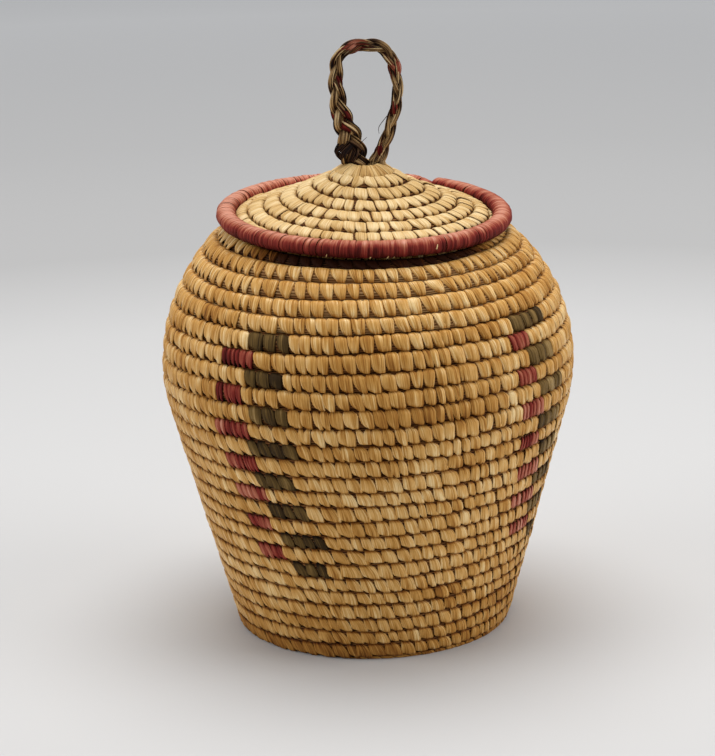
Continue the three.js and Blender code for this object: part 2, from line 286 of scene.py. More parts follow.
class Coil:
    """A bundle that runs in turns over a surface, edge to edge, level at both ends."""

    core = 0.12  # the bundle is this much taller than half its turn, so that turns press on each other
    slack = 0.4  # the stitches are this much lower
    # How dark the crevice between turns is painted: painted shade, with some dirt.
    crease_shade_and_dirt = 1.0  # in the crevice between turns

    def __init__(self, surface, edge, low, high, thickness, press=0.85):
        self.surface = surface
        self.edge = edge
        self.low = low
        self.high = high
        self.thickness = thickness
        self.press = press

    def size(self, turn):
        """Middle of the turn along the surface, half its width and half its thickness."""
        low = np.maximum(self.edge(turn), self.low)
        high = np.minimum(self.edge(turn + 1), self.high)
        full = self.edge(turn + 1) - self.edge(turn)
        depth = self.thickness / 2 * (0.55 + 0.45 * (high - low) / full)
        return (low + high) / 2, (high - low) / 2, depth

    def place(self, turn, out, step):
        """Points beside the middle of the turn: so far out of the surface, and so far on along it."""
        return self.surface(self.size(turn)[0], out, step, angle_of(turn))

    def radius(self, turn):
        """How far the middle of the turn is from the axis."""
        middle = self.place(turn, 0 * turn, 0 * turn)
        return np.hypot(middle[:, 0], middle[:, 1])

    def spaced(self, first, last, width):
        """Turns at which stitches of that width sit side by side, with a hand's unevenness."""
        fine = np.linspace(first, last, 4000)
        length = np.concatenate([[0], np.cumsum(np.diff(fine) * 2 * np.pi * self.radius(fine)[1:])])
        count = max(3, round(length[-1] / width))
        widths = 1 + np.clip(chance.normal(0, 0.13, count), -0.3, 0.3)
        ends = np.cumsum(widths) / widths.sum() * length[-1]
        middles = ends - 0.5 * widths / widths.sum() * length[-1]
        return np.interp(middles, length, fine), widths / widths.sum() * length[-1]


def tube(name, sides, steps, copies=1):
    """Closed tubes of unit radius along X: the piece, its place along, round, and which tube it is."""
    shape = bmesh.new()
    ring = bmesh.ops.create_circle(shape, segments=sides, radius=1)["verts"]
    bmesh.ops.rotate(shape, verts=ring, cent=(0, 0, 0), matrix=Matrix.Rotation(math.pi / 2, 3, "Y"))
    grown = bmesh.ops.extrude_edge_only(shape, edges=shape.edges[:])["geom"]
    far = [v for v in grown if isinstance(v, bmesh.types.BMVert)]
    bmesh.ops.translate(shape, verts=far, vec=(1, 0, 0))
    piece = object_of(name, shape)
    repeat(piece, steps, 1, 0, merge=True)
    shape = bmesh.new()
    shape.from_mesh(piece.data)
    bmesh.ops.holes_fill(shape, edges=shape.edges[:], sides=0)
    bmesh.ops.recalc_face_normals(shape, faces=shape.faces[:])
    shape.to_mesh(piece.data)
    shape.free()
    if copies > 1:
        repeat(piece, copies, TUBE_GAP, 1)
    points = points_of(piece)
    copy = np.round(points[:, 1] / TUBE_GAP)
    turn_round = np.arctan2(points[:, 2], points[:, 1] - TUBE_GAP * copy)
    return piece, points[:, 0] / steps, turn_round, copy.astype(int)


def rounded(turn, press):
    """Cosine and sine of a section that is pressed a little square."""
    c, s = np.cos(turn), np.sin(turn)
    return np.sign(c) * np.abs(c) ** press, np.sign(s) * np.abs(s) ** press


def lay_bundle(name, coil, first, last, tone=0.5):
    """The bundle under the stitches: a tube with the ridges of its grass stems."""
    length = (last - first) * 2 * np.pi * coil.radius(np.array([(first + last) / 2]))[0]
    piece, along, turn_round, _ = tube(name, 2 * BUNDLE_LOBES, int(length / BUNDLE_STEP))
    turn = first + (last - first) * along
    _, half, depth = coil.size(turn)
    ridge = np.cos(BUNDLE_LOBES * turn_round)
    stems = BUNDLE_RIDGE * ridge
    out, step = rounded(turn_round, coil.press)
    points = coil.place(turn, (depth - BUNDLE_SUNK + stems) * out, (half + coil.core + stems) * step)
    points[:, 2] = np.maximum(points[:, 2], 0.05)
    strand = np.stack([turn_round * 3.2, along * length, 0 * along], axis=1)
    # Between its stems it is painted darker: painted shade, with some dirt.
    shade_and_grime = np.clip(0.2 - 0.5 * ridge, 0, 1)
    put(piece, points, strand, tone, shade_and_grime)
    return piece


def sew(name, coil, turns, **looks):
    """Stitches round a coil, each a flat blade of grass that goes right round the bundle.

    A look is one value or one for each stitch. width and slant are in millimetres. top_cut and foot_cut are
    the shares of the width that the top, from shoulder up, and the foot lose, and lop is the side they lose.
    thick, lift and shingle say how far the blade stands out, and tip and even how far its foot hangs down.
    press squares its way round. seam darkens its tucked edge with dirt and painted shade, and the rim's
    painted shadow darkens it all over. tone is its own; edge pales its sides, a painted highlight, and when
    negative darkens them, painted shade. fade pales its upper face, as faded dye and painted light, and
    darkens its lower face, painted shade, and shade darkens its top, painted shade from the turn above.
    """
    looks = {**PLAIN_STITCH, **looks}
    shape = bmesh.new()
    ring = [shape.verts.new((a, 1 + 0.1 * b, 0)) for a, b in BAND]
    edges = [shape.edges.new((ring[k - 1], ring[k])) for k in range(len(ring))]
    bmesh.ops.spin(
        shape,
        geom=ring + edges,
        cent=(0, 0, 0),
        axis=(1, 0, 0),
        angle=2 * math.pi,
        steps=BAND_STEPS,
        use_merge=True,
    )
    bmesh.ops.recalc_face_normals(shape, faces=shape.faces[:])
    piece = object_of(name, shape)
    repeat(piece, len(turns), BAND_PITCH, 0)
    points = points_of(piece)
    which = np.round(points[:, 0] / BAND_PITCH).astype(int)
    across = points[:, 0] - BAND_PITCH * which
    turn_round = np.arctan2(points[:, 2], points[:, 1])
    turn_round = turn_round - 0.4 * np.sin(turn_round)
    rise = (np.hypot(points[:, 1], points[:, 2]) - 1) * 10
    look = {key: np.broadcast_to(value, len(turns))[which] for key, value in looks.items()}
    high = np.sin(turn_round)
    # Above its shoulder and towards its foot the stitch narrows.
    top = look["top_cut"] * np.clip((high - look["shoulder"]) / (0.95 - look["shoulder"]), 0, 1) ** 1.5
    foot = look["foot_cut"] * np.clip((0.3 - high) / 1.25, 0, 1) ** 1.3
    aside = look["width"] / 2 * (across * (1 - top - foot) + look["lop"] * (foot - top))
    aside = aside + look["slant"] * (1 - high) / 2
    middle = turns[which]
    turn = middle + aside / (2 * np.pi * coil.radius(middle))
    _, half, depth = coil.size(turn)
    proud = look["thick"] * rise + look["shingle"] * across / 2 + look["lift"]
    out, step = rounded(turn_round, look["press"])
    # The foot hangs over the turn below, lower at one corner.
    hang = np.clip((-high - 0.3) / 0.7, 0, 1) ** 1.5 * np.clip(np.cos(turn_round) + 0.4, 0, 1)
    tip = hang * (1 - (1 - look["even"]) * ((across - 0.6) / 1.6) ** 2)
    out = (depth - BAND_SUNK + proud) * out + 0.9 * look["tip"] * tip
    step = (half - coil.slack + 0.5 * proud) * step - look["tip"] * (1.3 * tip - 0.3 * hang)
    points = coil.place(turn, out, step)
    points[:, 2] = np.maximum(points[:, 2], 0.02)
    # Painted shade, with some dirt, darkens the creases at its top and foot, its tucked edge and its inner
    # face;
    # under the front of the rim a painted shadow darkens it all over.
    crease = np.where(high > 0, (high - 0.58 - 0.45 * look["shoulder"]) / 0.4, (-high - 0.86) / 0.14)
    shade_and_grime = np.clip(crease, 0, 1) ** 1.5 * (1 - 0.95 * tip) * coil.crease_shade_and_dirt
    tucked = -across * np.sign(look["shingle"])
    shade_and_grime = np.maximum(shade_and_grime, np.clip((tucked - 0.82) / 0.18, 0, 1) * look["seam"])
    shade_and_grime = np.maximum(np.maximum(shade_and_grime, rise < -0.9), look["painted_rim_shadow"])
    strand = np.stack([across * look["width"] / 2, turn_round * depth, 2.7 * which], axis=1)
    # Its upper face is paler, as faded dye and painted light, and its lower face darker, painted shade. Its
    # top is darker, painted shade from the turn above, and its sides paler, a painted highlight, or darker
    # where the edge look is negative, painted shade.
    up = np.cos(turn_round)
    faded = look["fade"] * (np.clip(up, 0, 1) ** 2 - 0.45 * np.clip(-up, 0, 1))
    faded = faded - look["shade"] * np.clip(high, 0, 1)
    put(piece, points, strand, look["tone"] + faded + look["edge"] * across**2, shade_and_grime)
    return piece


def blade_tones(count, middle, runs=0.06, each=0.05):
    """A tone for each stitch: one blade sews about a dozen of them, and blades differ."""
    tones = np.empty(count)
    start = 0
    while start < count:
        end = start + int(chance.integers(7, 17))
        tones[start:end] = chance.normal(0, runs)
        start = end
    return middle + tones + chance.normal(0, each, count)


def on_base(way, out, step, angle):
    """The flat base, whose outside looks down; way is the distance from its middle."""
    return around(angle, way + step, BASE_THICKNESS / 2 - out)


def base_edge(turn):
    """Edge between two turns of the base."""
    return BASE_PITCH * turn


base_coil = Coil(on_base, base_edge, KNOT_RADIUS + KNOT_GAP, BASE_EDGE, BASE_THICKNESS, press=0.5)
base_first, base_last = -0.03, BASE_EDGE / BASE_PITCH - 0.3
bundle_grass = grass_material("bundle_grass", BUNDLE_TONES, 0.1)
base_bundle = lay_bundle("base_bundle", base_coil, base_first, base_last)
rides(base_bundle, "basket", "natural_grass", bundle_grass, "base_coil")
turns, widths = base_coil.spaced(base_first, base_last, BASE_STITCH)
base_stitches = sew(
    "base_stitches",
    base_coil,
    turns,
    width=widths * 0.98,
    slant=chance.normal(0.8, 0.4, len(turns)),
    top_cut=0.1,
    foot_cut=0.2,
    lop=0.5,
    thick=0.6,
    shingle=-0.2,
    lift=chance.normal(0, 0.06, len(turns)),
    tip=0.4,
    press=0.5,
    seam=0.3,
    edge=0.05,
    tone=blade_tones(len(turns), 0.42),
)
rides(base_stitches, "basket", "natural_grass", natural_grass)


# Wall: the same bundle carried on upwards in 26 turns, out to the belly and in again over the shoulder.
# Low down the stitches lie close like shingles; higher up they are round pads that narrow downwards and
# leave the stems of the bundle showing. Stepped columns are sewn with blades dyed red and olive.
BELLY_RADIUS = 90
BELLY_HEIGHT = 118
COIL_THICKNESS = 7.2
MOUTH_THICKNESS = 5.2
OUTER_ARC = 74
WALL_ARC = OUTER_ARC - COIL_THICKNESS / 2
ARC_CENTRE = BELLY_RADIUS - OUTER_ARC
WALL_FOOT = -0.4
WALL_STITCH = 5.3
WALL_LEAN = math.radians(15)
MOUTH_ANGLE = math.radians(54.7)
LINE_LENGTH = (BELLY_HEIGHT - WALL_ARC * math.sin(WALL_LEAN)) / math.cos(WALL_LEAN)
WALL_LENGTH = LINE_LENGTH + WALL_ARC * (WALL_LEAN + MOUTH_ANGLE)
WALL_TURNS = 26.09
WALL_GROWTH = 0.0061
WALL_PITCH = WALL_LENGTH / (WALL_TURNS + WALL_GROWTH * WALL_TURNS**2 / 2)
MOUTH_RISE = 7.7
MOUTH_DROP = 2.8
MOUTH_TURN = math.radians(27)
RISE_DEPTH = 60
WALL_SPANS = {
    "wall_foot": (-0.69, 5.867),
    "wall_lower_band": (5.867, 12.867),
    "wall_upper_band": (12.867, 20.867),
    "wall_shoulder": (20.867, 24.867),
    "mouth": (24.867, 25.83),
}
# The mouth's bundle is painted dark all round: painted shadow of the rim over it.
BUNDLE_TONE_AND_SHADE = {"wall_shoulder": 0.85, "mouth": 0.2}
RED_TONES = [
    (0.0, (0.058, 0.004, 0.003)),
    (0.4, (0.228, 0.026, 0.018)),
    (0.7, (0.412, 0.118, 0.060)),
    (1.0, (0.620, 0.260, 0.165)),
]
OLIVE_TONES = [
    (0.0, (0.032, 0.017, 0.005)),
    (0.4, (0.118, 0.068, 0.018)),
    (0.7, (0.240, 0.143, 0.040)),
    (1.0, (0.400, 0.262, 0.095)),
]
# Each column: degrees of its olive block in the fifth row, what a row down adds to them and to that shift,
# the same for its red block in the sixth row, and how faded its olive and its red are.
COLUMNS = [
    (-28.4, -0.45, 0.07, -40.6, -0.5, 0.08, 0.39, 0.59),
    (53, 1.35, 0.0, 46, 0.95, 0.0, 0.67, 0.73),
    (144, 0.8, 0.0, 135, 0.6, 0.0, 0.51, 0.71),
    (-126, 0.8, 0.0, -135, 0.6, 0.0, 0.51, 0.71),
]
OLIVE_ROWS = (5, 19)
OLIVE_BLOCK = 8.8
LAST_BLOCK = 6.6
RED_ROWS = (6, 18)
RED_BLOCK = 7.5
FRESH_ROWS = 9  # above this row the dyes have kept more of their colour
# Blades of another tone: row, from and to in degrees, and how much lighter or darker.
STAINED = [
    (7, -21, 3, -0.22),
    (6, -18, 25, -0.12),
    (5, 20, 40, -0.08),
    (11, -25, 6, -0.14),
    (9, 10, 34, -0.1),
    (21, 4, 33, -0.16),
    (22, 25, 34, -0.2),
    (16, -20, 10, -0.08),
]


def wall_at(way):
    """Radius, height and slope of the wall, a straight line and then an arc, that far up from its foot."""
    up = np.maximum(0, way - LINE_LENGTH) / WALL_ARC - WALL_LEAN
    below = np.minimum(0, way - LINE_LENGTH)
    radius = ARC_CENTRE + WALL_ARC * np.cos(up) + below * math.sin(WALL_LEAN)
    return radius, BELLY_HEIGHT + WALL_ARC * np.sin(up) + below * math.cos(WALL_LEAN), up


def on_wall(way, out, step, angle):
    """The wall, which near the mouth rises to one side."""
    radius, height, up = wall_at(way)
    share = np.clip((way + step - WALL_LENGTH) / RISE_DEPTH + 1, 0, 1)
    rise = share**2 * (MOUTH_RISE * (1 - np.cos(angle - MOUTH_TURN)) / 2 - MOUTH_DROP)
    z = height + out * np.sin(up) + step * np.cos(up) + rise
    return around(angle, radius + out * np.cos(up) - step * np.sin(up), z)


def wall_edge(turn):
    """Edge between two turns, which a hand doesn't lay quite level."""
    sway = 0.3 * np.sin(14.5 * turn + 0.8) + 0.2 * np.sin(32.0 * turn + 2) + 0.12 * np.sin(73.5 * turn)
    return WALL_PITCH * (turn + WALL_GROWTH * turn**2 / 2) + sway


def soft_step(value):
    """From 0 to 1 as the value does, level at both ends."""
    value = np.clip(value, 0, 1)
    return value * value * (3 - 2 * value)


def sewn(coil, first, last, width):
    """Stitches as a hand sews them, each by those of the turn below: their turns and widths in turns."""
    places = list(coil.spaced(first, first + 1, width)[0])
    below, since = 0, 0
    while places[-1] < last:
        near = np.array(places[max(0, below - 3) : below + 5])
        seam = 1 + (places[below] + places[below + 1]) / 2
        eased = 1 + np.mean(places[max(0, below - 1) : below + 3])
        girth = 2 * np.pi * coil.radius(np.array([seam]))[0]
        spacing = np.mean(np.diff(near))
        place = eased - 0.2 * spacing + chance.normal(0, 0.3) / girth
        below += 1
        since += 1
        # Where the turns grow longer a stitch is added now and then, and where they shrink one is left out.
        if since > 7 and spacing * girth > 1.08 * width:
            places += [place - 0.25 * spacing, place + 0.25 * spacing]
            since = 0
        elif since > 7 and spacing * girth < 0.92 * width:
            places.append(place + 0.5 * spacing)
            below += 1
            since = 0
        else:
            places.append(place)
    places = np.array(places)
    return (places[:-2] + 2 * places[1:-1] + places[2:]) / 4, (places[2:] - places[:-2]) / 2


wall_coil = Coil(on_wall, wall_edge, WALL_FOOT, WALL_LENGTH, COIL_THICKNESS)
mouth_coil = Coil(on_wall, wall_edge, WALL_FOOT, WALL_LENGTH, MOUTH_THICKNESS)
red_grass = grass_material("red_grass", RED_TONES, 0.5, 0.95)
olive_grass = grass_material("olive_grass", OLIVE_TONES, 0.4, 1.2)
turns, widths = sewn(wall_coil, WALL_SPANS["wall_foot"][0], WALL_SPANS["mouth"][1], WALL_STITCH)
girth = 2 * np.pi * wall_coil.radius(turns)
widths = widths * girth
# Rows are counted down from the mouth, and degrees from the front to the right.
lap = turns - START_TURN
degrees = ((lap + 0.5) % 1 - 0.5) * 360
row = 25 - np.round(lap - degrees / 360)
low = soft_step((row - 8) / 6)
# The lower rows are a little paler: painted light, for light thrown up from the floor.
tone = 0.63 + 0.045 * low + blade_tones(len(turns), 0, 0.045, 0.045) * (1 - 0.4 * low)
# The lowest rows, and most the turn on the floor, are painted darker: painted shade near the floor.
tone -= 0.12 * np.clip((row - 20) / 4, 0, 1) + 0.2 * (turns < 0.4)
for stained, first, last, change in STAINED:
    tone[(row == stained) & (degrees > first) & (degrees < last)] += change
# Under the front of the rim the mouth turn is painted dark: a painted shadow of the rim over it.
painted_rim_shadow = (row < 1) * np.clip(2.4 - np.abs(degrees - 5) / 25, 0, 1)
tone -= 0.8 * painted_rim_shadow
dye = np.full(len(turns), "natural")


def in_block(rows, middle, shift, bend, reach):
    """Stitches of a column's blocks, which lie in every second row and reach that far to each side."""
    down = row - rows[0]
    aside = np.abs(degrees - middle - shift * down - bend * down**2)
    return (row >= rows[0]) & (row <= rows[1]) & (down % 2 == 0) & (aside < reach / girth * 360)


olive_reach = np.where(row < OLIVE_ROWS[1], OLIVE_BLOCK, LAST_BLOCK)
for olive, olive_shift, olive_bend, red, red_shift, red_bend, faded_olive, faded_red in COLUMNS:
    is_olive = in_block(OLIVE_ROWS, olive, olive_shift, olive_bend, olive_reach)
    is_red = in_block(RED_ROWS, red, red_shift, red_bend, RED_BLOCK)
    dye[is_olive] = "olive"
    dye[is_red] = "red"
    dipped = is_olive | is_red
    faded = np.where(is_red, faded_red + 0.04 * np.clip(row - 13, 0, 4), faded_olive)
    faded = faded - 0.11 * (row < FRESH_ROWS)
    tone[dipped] = faded[dipped] + chance.normal(0, 0.15, np.sum(dipped))
dyed = dye != "natural"
open_row = np.clip(3 - row, 0, 1)
packed = np.clip((row - 1.5) / 3, 0, 1) * (1 - low)
many = len(turns)
wall_looks = {
    "width": widths * (1.08 + 0.05 * low - 0.05 * open_row),
    "slant": 0.9 + chance.normal(0, 0.35, many),
    "top_cut": 0.34 + 0.25 * low + chance.normal(0, 0.06, many),
    "shoulder": 0.55 - 0.95 * low,
    "foot_cut": (0.38 + 0.06 * open_row - 0.16 * packed - 0.32 * low + chance.normal(0, 0.07, many))
    * (1 - 0.3 * dyed),
    "lop": 0.35 + 0.55 * low + chance.normal(0, 0.2, many) * (1 - 0.5 * low),
    "thick": 0.85 - 0.4 * low,
    "shingle": -0.15 - 0.17 * low,
    "lift": chance.normal(0, 0.1, many),
    "tip": 1.5 + 0.25 * low + chance.normal(0, 0.25, many),
    "press": 0.75 - 0.15 * low,
    "seam": 0.45 - 0.2 * low + 0.35 * dyed,
    "shade": 0.18 * low,
    "even": 0.25 * low,
    "edge": np.where(dyed, -0.28, 0.1),
    "painted_rim_shadow": 0.5 * painted_rim_shadow,
    "tone": tone,
}
# Red blades are narrow and go in twice as often. In the upper rows some stitches are split by the needle of
# the next row, and part like a V.
narrow = dye == "red"
parted = (row < 11) & (dye == "natural") & (chance.uniform(0, 1, many) < 0.12)
split = narrow | parted
aside = 0.25 * widths[split] / girth[split]
halves = {key: values[split].copy() for key, values in wall_looks.items()}
for side, looks in ((-1, wall_looks), (1, halves)):
    here = split if side < 0 else np.full(np.sum(split), True)
    fork = parted if side < 0 else parted[split]
    looks["width"][here] *= 0.5
    looks["slant"][fork] -= side * 0.1 * widths[parted]
    looks["tip"][fork] *= 0.6
    looks["lop"][fork] = -0.5 * side
    looks["top_cut"][fork] = 0.45
turns[split] -= aside
turns = np.concatenate([turns, turns[split] + 2 * aside])
dye = np.concatenate([dye, dye[split]])
wall_looks = {key: np.concatenate([wall_looks[key], halves[key]]) for key in wall_looks}


def sew_some(name, coil, here):
    """The chosen stitches of the wall, as one piece."""
    return sew(name, coil, turns[here], **{key: values[here] for key, values in wall_looks.items()})


for span, (first, last) in WALL_SPANS.items():
    coil = mouth_coil if span == "mouth" else wall_coil
    bundle = lay_bundle(span + "_bundle", coil, first, last, BUNDLE_TONE_AND_SHADE.get(span, 0.5))
    rides(bundle, "basket", "natural_grass", bundle_grass, span + "_coil")
    here = (turns >= first) & (turns < last) & (dye == "natural")
    rides(sew_some(span + "_stitches", coil, here), "basket", "natural_grass", natural_grass)
for colour, slot, material in (("red", "red_grass", red_grass), ("olive", "natural_grass", olive_grass)):
    rides(sew_some("wall_" + colour + "_stitches", wall_coil, dye == colour), "basket", slot, material)


# Lid: a second bundle coiled from a small sewn ring at the middle outwards, sloping down to the rim. The
# ring leaves a hole for the tails of the loop. Paler grass than the wall, in smaller round stitches.
LID_SLOPE = math.radians(20.4)
LID_THICKNESS = 6.6
LID_PITCH = 7.5
LID_STITCH = 4.9
LID_SUNK = 4
LID_GAP = 0.3
HOLE_RADIUS = 4.2
START_WIDTH = 3.0
START_STITCH = 2.8
RIM_WIDTH = 8.4
RIM_HEIGHT = 7.4
mouth_radius, mouth_height, _ = wall_at(WALL_LENGTH - WALL_PITCH / 2)
LID_RADIUS = mouth_radius + 0.2
LID_CROWN = LID_RADIUS * math.tan(LID_SLOPE) - LID_SUNK
LID_TILT = math.atan2(MOUTH_RISE / 2, mouth_radius)
LID_HEIGHT = mouth_height + MOUTH_RISE / 2 - MOUTH_DROP + COIL_THICKNESS / 2 + LID_GAP + RIM_HEIGHT / 2
RING_MIDDLE = LID_CROWN - (HOLE_RADIUS + START_WIDTH / 2) * math.tan(LID_SLOPE)
LID_PEAK = 3.8
PEAK_REACH = 19
START_REACH = 9.0
PALE_TONES = [
    (0.0, (0.120, 0.052, 0.015)),
    (0.25, (0.310, 0.150, 0.043)),
    (0.5, (0.510, 0.300, 0.098)),
    (0.75, (0.690, 0.455, 0.180)),
    (1.0, (0.840, 0.630, 0.320)),
]


def on_mouth(points):
    """From the lid's own frame to its place on the mouth, which leans to its low side."""
    hinge = (math.cos(MOUTH_TURN), math.sin(MOUTH_TURN), 0)
    lean = np.array(Matrix.Rotation(LID_TILT, 3, hinge))
    return points @ lean.T + [0, 0, LID_HEIGHT]


def on_lid(way, out, step, angle):
    """The low cone of the lid, drawn up a little at its middle."""
    c, s = math.cos(LID_SLOPE), math.sin(LID_SLOPE)
    drawn_up = LID_PEAK * np.exp(-(((way + step) / PEAK_REACH) ** 2))
    height = LID_CROWN - (way + step) * s + out * c + drawn_up
    return on_mouth(around(angle, (way + step) * c + out * s, height))


def lid_edge(turn):
    """Edge between two turns of the lid, as uneven as the wall's."""
    return LID_PITCH * turn + 0.2 * np.sin(19 * turn + 1) + 0.15 * np.sin(41 * turn)


class StartRing(Coil):
    """The ring at the middle of the lid, whose long stitches reach out over the first turn."""

    core = -0.75
    slack = 0.1
    crease_shade_and_dirt = 0.7

    def size(self, turn):
        middle, half = (self.low + self.high) / 2, (self.high - self.low) / 2
        return middle + 0 * turn, half + 0 * turn, self.thickness / 2 + 0 * turn


start_low = HOLE_RADIUS / math.cos(LID_SLOPE)
start_ring = StartRing(on_lid, None, start_low, start_low + START_REACH, LID_THICKNESS + 0.7)
turns, widths = start_ring.spaced(0, 1, START_STITCH)
ring_stitches = sew(
    "lid_start_ring_stitches",
    start_ring,
    turns,
    width=widths * 1.08,
    slant=chance.normal(0, 0.3, len(turns)),
    top_cut=0.3 + chance.normal(0, 0.08, len(turns)),
    lop=chance.normal(0, 0.5, len(turns)),
    thick=0.5,
    shingle=-0.2,
    lift=chance.normal(0, 0.12, len(turns)),
    press=0.6,
    seam=0.4,
    edge=0.08,
    tone=blade_tones(len(turns), 0.7),
)
pale_grass = grass_material("pale_grass", PALE_TONES, 0.8, 1.1)
rides(ring_stitches, "lid", "natural_grass", pale_grass, "lid_start_ring")

lid_low = (HOLE_RADIUS + START_WIDTH + 0.35) / math.cos(LID_SLOPE)
lid_high = (LID_RADIUS - RIM_WIDTH / 2 - 0.4) / math.cos(LID_SLOPE)
lid_coil = Coil(on_lid, lid_edge, lid_low, lid_high, LID_THICKNESS)
lid_coil.slack = 0.2
lid_coil.crease_shade_and_dirt = 0.7
lid_first, lid_last = (lid_low + 2.2) / LID_PITCH - 1, (lid_high - 0.7) / LID_PITCH
lid_bundle = lay_bundle("lid_bundle", lid_coil, lid_first, lid_last)
rides(lid_bundle, "lid", "natural_grass", bundle_grass, "lid_coil")
turns, widths = lid_coil.spaced(lid_first, lid_last, LID_STITCH)
lid_stitches = sew(
    "lid_stitches",
    lid_coil,
    turns,
    width=widths * 1.05,
    slant=chance.normal(-0.5, 0.6, len(turns)),
    top_cut=0.58 + chance.normal(0, 0.1, len(turns)),
    shoulder=0.1,
    lop=chance.normal(-0.3, 0.5, len(turns)),
    thick=0.65,
    shingle=-0.3,
    lift=chance.normal(0, 0.15, len(turns)),
    press=0.6,
    seam=0.6,
    edge=0.06,
    tone=blade_tones(len(turns), 0.77, 0.035, 0.045),
)
rides(lid_stitches, "lid", "natural_grass", pale_grass)


# Rim of the lid: a last turn, thicker, wound close all round with narrow blades dyed brick red, paler on top
# as faded dye and painted light, and darker underneath as painted shade. Its ends are thinned and lie over
# each other at the back, and the last one stands up as a stub.
RIM_END = math.radians(132)
RIM_TAPER = 12 / 360
RIM_THINNED = 0.62
RIM_STITCH = 2.3
RING_LAP = 14 / 360
END_GAP = 0.002


class Ring(Coil):
    """A sewn ring: one turn, whose ends are thinned to lie over each other."""

    core = -0.75
    slack = 0.1
    crease_shade_and_dirt = 0.0
    press = 0.95

    def __init__(self, radius, height, width, thickness, taper, thinnest):
        self.middle_radius = radius
        self.height = height
        self.half = width / 2
        self.depth = thickness / 2
        self.taper = taper
        self.thinnest = thinnest

    def thinned(self, turn):
        from_end = np.minimum(turn, 1 + RING_LAP - turn)
        return self.thinnest + (1 - self.thinnest) * soft_step((from_end - RING_LAP) / self.taper)

    def size(self, turn):
        return 0 * turn, self.half * (0.94 + 0.06 * self.thinned(turn)), self.depth * self.thinned(turn)

    def place(self, turn, out, step):
        shift = self.depth * (1 - self.thinned(turn)) * np.where(turn < (1 + RING_LAP) / 2, -1, 1)
        angle = RIM_END + 2 * np.pi * turn
        return on_mouth(around(angle, self.middle_radius + step, self.height + shift + out))


rim = Ring(LID_RADIUS, 0, RIM_WIDTH, RIM_HEIGHT, RIM_TAPER, RIM_THINNED)
rim_bundle = lay_bundle("lid_rim_bundle", rim, 0.0, 1 + RING_LAP)
rides(rim_bundle, "lid", "red_grass", bundle_grass, "lid_rim_coil")
turns, widths = rim.spaced(END_GAP, 1 + RING_LAP - END_GAP, RIM_STITCH)
widths = widths * np.clip(1 + chance.normal(0, 0.2, len(turns)), 0.7, 1.4)
angle = RIM_END + 2 * np.pi * turns
rim_stitches = sew(
    "lid_rim_stitches",
    rim,
    turns,
    width=widths * 1.14,
    slant=0.9 + chance.normal(0, 0.25, len(turns)),
    foot_cut=0.1,
    thick=0.36,
    shingle=0.2,
    lift=0.25 + chance.normal(0, 0.07, len(turns)),
    press=0.95,
    seam=0.6,
    fade=0.64,
    edge=0.0,
    # Round the rim its tone is painted lighter at the left and the sides and darker at the right: painted
    # light and painted shade.
    tone=blade_tones(len(turns), 0.22, 0.04, 0.05)
    - 0.15 * np.sin(angle)
    + 0.11 * np.sin(angle) ** 2
    + 0.1 * np.sin(2 * angle),
)
rides(rim_stitches, "lid", "red_grass", red_grass)


# Flange: a ring of plain sewn coil under the lid, just inside the mouth, that keeps the lid from sliding.
# It is natural grass in wide stitches, sewn to the underside of the lid, and its ends lie over each other
# below those of the rim.
FLANGE_WIDTH = 6.6
FLANGE_TAPER = 30 / 360
FLANGE_THINNED = 0.45
FLANGE_STITCH = 5.4
FLANGE_PLAY = 1.7
flange_radius = mouth_radius - COIL_THICKNESS / 2 - FLANGE_PLAY - FLANGE_WIDTH / 2
flange_height = LID_CROWN - flange_radius * math.tan(LID_SLOPE)
flange_height = flange_height - LID_THICKNESS / 2 / math.cos(LID_SLOPE) - 0.2 - FLANGE_WIDTH / 2
flange = Ring(flange_radius, flange_height, FLANGE_WIDTH, FLANGE_WIDTH, FLANGE_TAPER, FLANGE_THINNED)
flange_bundle = lay_bundle("lid_flange_bundle", flange, 0.0, 1 + RING_LAP)
rides(flange_bundle, "lid", "natural_grass", bundle_grass, "lid_flange_coil")
turns, widths = flange.spaced(END_GAP, 1 + RING_LAP - END_GAP, FLANGE_STITCH)
flange_stitches = sew(
    "lid_flange_stitches",
    flange,
    turns,
    width=widths * 0.97,
    slant=0.8 + chance.normal(0, 0.3, len(turns)),
    top_cut=0.1,
    foot_cut=0.2,
    thick=0.7,
    shingle=0.1,
    lift=chance.normal(-0.1, 0.05, len(turns)),
    press=0.9,
    seam=0.4,
    edge=0.05,
    tone=blade_tones(len(turns), 0.55),
)
rides(flange_stitches, "lid", "natural_grass", natural_grass)


# Loop: a plait of three strands, each a few blades of dried grass, tan, brown and some dyed red. Its thick
# end stands on the lid at the left, where the cut blades splay; the thin end comes down on the right and
# goes in through the ring.
LOOP_LINE = [
    (-3.2, 19.3), (-4.2, 23.0), (-5.8, 31.3), (-9.4, 41.2), (-11.7, 51.0), (-12.3, 60.8),
    (-11.4, 66.8), (-7.8, 71.4), (-0.4, 73.2), (6.2, 72.1), (10.3, 69.0), (13.1, 61.4),
    (14.0, 51.0), (11.9, 41.2), (8.8, 31.3), (4.6, 21.6), (1.4, 16.5), (0.2, 12.6),
]
LOOP_WIDTHS = [
    (0.0, 14.0), (0.094, 12.5), (0.175, 10.0), (0.25, 8.0), (0.327, 6.8), (0.38, 5.6), (0.465, 6.4),
    (0.55, 6.2), (0.61, 5.6), (0.685, 5.4), (0.76, 5.8), (0.84, 6.4), (0.92, 7.4), (0.97, 6.2), (1.0, 5.0),
]
PLAIN_BLADES = 14
RED_BLADES = 6
BLADE_SIDES = 8
LOOP_STEPS = 170
LOOP_LAY = 30  # millimetres to a full round of the plait, and what of it the thick end saves
LOOP_LAY_SAVED = 9
